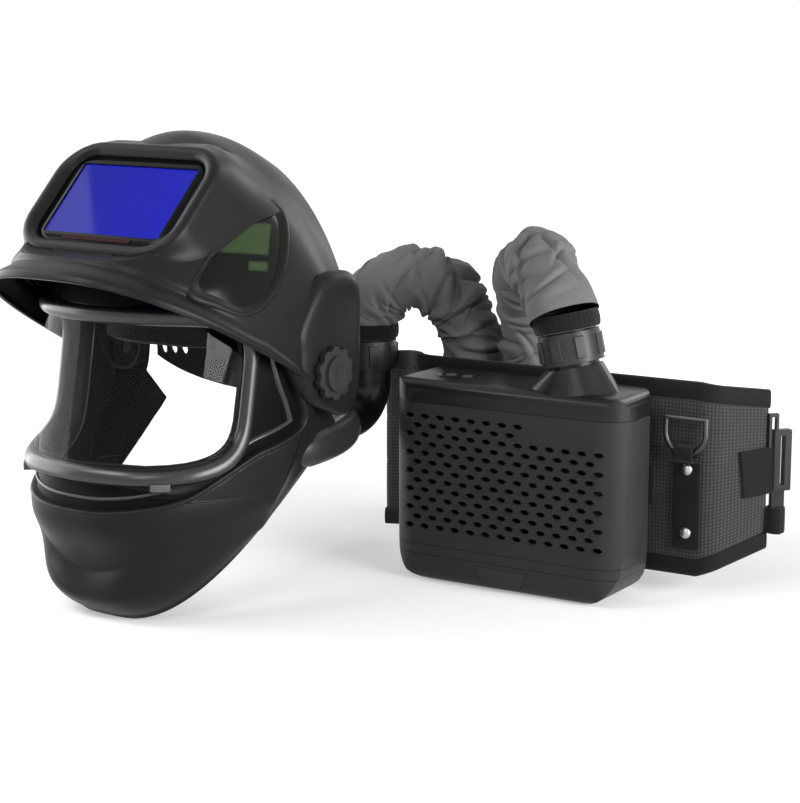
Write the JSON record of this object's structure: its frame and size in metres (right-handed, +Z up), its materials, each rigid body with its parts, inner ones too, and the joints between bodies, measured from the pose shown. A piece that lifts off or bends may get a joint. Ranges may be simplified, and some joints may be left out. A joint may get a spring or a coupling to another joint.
{
  "type": "powered air respirator",
  "caption": "Powered air respirator with a flip-up welding helmet, a sleeved breathing hose and a belt-worn filter blower.",
  "frame": {"origin": "on the floor under the middle of the blower's base", "axes": "+Z up, -Y the way the blower and helmet face, +X to the wearer's left"},
  "size_m": [0.5738, 0.5206, 0.388],
  "materials": {
    "shell_plastic": "fine-textured",
    "frame_plastic": "semi-gloss",
    "clear_lens": "clear",
    "dark_lens": "gloss",
    "blue_lens": "mirror-smooth",
    "green_lens": "gloss",
    "dark_red_print": "printed",
    "rubber": "matte",
    "seal_cloth": "woven",
    "sleeve_cloth": "woven",
    "belt_cloth": "woven",
    "webbing": "woven",
    "foam": "padded",
    "housing_plastic": "fine-textured",
    "deck_plastic": "semi-gloss",
    "grey_plastic": "satin",
    "steel": "satin",
    "filter_paper": "pleated",
    "board_green": "satin"
  },
  "bodies": {
    "base": {"face_shell": "shell_plastic", "visor_frame": "frame_plastic", "visor_gasket": "rubber", "clear_visor": "clear_lens", "visor_catches": "grey_plastic", "face_seal": "seal_cloth", "air_duct": "frame_plastic", "duct_elbow": "frame_plastic", "pivot_bolts": "housing_plastic", "rear_housing": "housing_plastic", "top_housing": "deck_plastic", "control_panel": "frame_plastic", "particle_filter": "filter_paper", "spark_screen": "steel", "filter_gasket": "rubber", "fan_scroll": "housing_plastic", "fan_motor": "steel", "circuit_board": "board_green", "housing_screws": "steel", "belt_bracket": "housing_plastic", "belt_pad": "belt_cloth", "belt_binding": "webbing", "belt_webbing": "webbing", "buckle": "housing_plastic", "ring_loop": "webbing", "breathing_hose": "rubber", "hose_sleeve": "sleeve_cloth", "sleeve_cuffs": "webbing"},
    "flip_shield": {"shield_shell": "shell_plastic", "lens_housing": "shell_plastic", "cover_lens": "dark_lens", "blue_filter": "blue_lens", "filter_case": "frame_plastic", "sensor_strip": "dark_red_print", "side_windows": "green_lens", "ear_pads": "shell_plastic"},
    "headgear": {"headband": "housing_plastic", "brow_pad": "foam", "crown_straps": "housing_plastic", "rear_cradle": "housing_plastic", "side_arms": "housing_plastic"},
    "knob_left": {"knob_left": "housing_plastic"},
    "knob_right": {"knob_right": "housing_plastic"},
    "ratchet_knob": {"ratchet_knob": "rubber"},
    "filter_cover": {"filter_cover": "housing_plastic"},
    "battery": {"battery_pack": "housing_plastic"},
    "battery_latch": {"battery_latch": "housing_plastic"},
    "catch_left": {"catch_left": "frame_plastic"},
    "catch_right": {"catch_right": "frame_plastic"},
    "power_button": {"power_button": "grey_plastic"},
    "flow_button": {"flow_button": "grey_plastic"},
    "outlet_collar": {"outlet_collar": "frame_plastic"},
    "elbow_collar": {"elbow_collar": "frame_plastic"},
    "fan_wheel": {"fan_wheel": "housing_plastic"},
    "d_ring": {"d_ring": "steel"}
  },
  "joints": [
    {"name": "shield_flip", "type": "hinge", "parent": "base", "child": "flip_shield", "pos_m": [-0.23243, -0.12144, 0.19367], "axis": [0.9976, -0.0698, 0], "range_deg": [0, 45]},
    {"name": "knob_left_turn", "type": "hinge", "parent": "base", "child": "knob_left", "pos_m": [-0.23243, -0.12144, 0.19367], "axis": [0.9976, -0.0698, 0], "range_deg": [-90, 90]},
    {"name": "knob_right_turn", "type": "hinge", "parent": "base", "child": "knob_right", "pos_m": [-0.23243, -0.12144, 0.19367], "axis": [0.9976, -0.0698, 0], "range_deg": [-90, 90]},
    {"name": "headgear_tilt", "type": "hinge", "parent": "base", "child": "headgear", "pos_m": [-0.23243, -0.12144, 0.19367], "axis": [0.9976, -0.0698, 0], "range_deg": [-10, 15]},
    {"name": "ratchet_turn", "type": "hinge", "parent": "headgear", "child": "ratchet_knob", "pos_m": [-0.22547, -0.02189, 0.17504], "axis": [0.0698, 0.9976, 0], "continuous": true},
    {"name": "cover_pull", "type": "slide", "parent": "base", "child": "filter_cover", "axis": [0, -1, 0], "range_m": [0, 0.06]},
    {"name": "battery_pull", "type": "slide", "parent": "base", "child": "battery", "axis": [0, -1, 0], "range_m": [0, 0.08]},
    {"name": "latch_press", "type": "slide", "parent": "battery", "child": "battery_latch", "axis": [0, 1, 0], "range_m": [0, 0.002], "stiffness_N_per_m": 400},
    {"name": "catch_left_press", "type": "slide", "parent": "base", "child": "catch_left", "axis": [-1, 0, 0], "range_m": [0, 0.0015], "stiffness_N_per_m": 400},
    {"name": "catch_right_press", "type": "slide", "parent": "base", "child": "catch_right", "axis": [1, 0, 0], "range_m": [0, 0.0015], "stiffness_N_per_m": 400},
    {"name": "power_press", "type": "slide", "parent": "base", "child": "power_button", "axis": [0, 0, -1], "range_m": [0, 0.001], "stiffness_N_per_m": 400},
    {"name": "flow_press", "type": "slide", "parent": "base", "child": "flow_button", "axis": [0, 0, -1], "range_m": [0, 0.001], "stiffness_N_per_m": 400},
    {"name": "outlet_collar_turn", "type": "hinge", "parent": "base", "child": "outlet_collar", "pos_m": [0.0548, 0, 0.172], "axis": [-0.225, 0, 0.9744], "range_deg": [0, 30]},
    {"name": "elbow_collar_turn", "type": "hinge", "parent": "base", "child": "elbow_collar", "pos_m": [-0.186, 0.048, 0.19367], "axis": [0, 0, 1], "range_deg": [0, 30]},
    {"name": "fan_spin", "type": "hinge", "parent": "base", "child": "fan_wheel", "pos_m": [0, 0.008, 0.09504], "axis": [0, 1, 0], "continuous": true},
    {"name": "ring_swing", "type": "hinge", "parent": "base", "child": "d_ring", "pos_m": [0.1355, 0.035, 0.1232], "axis": [1, 0, 0], "range_deg": [0, 150]}
  ]
}
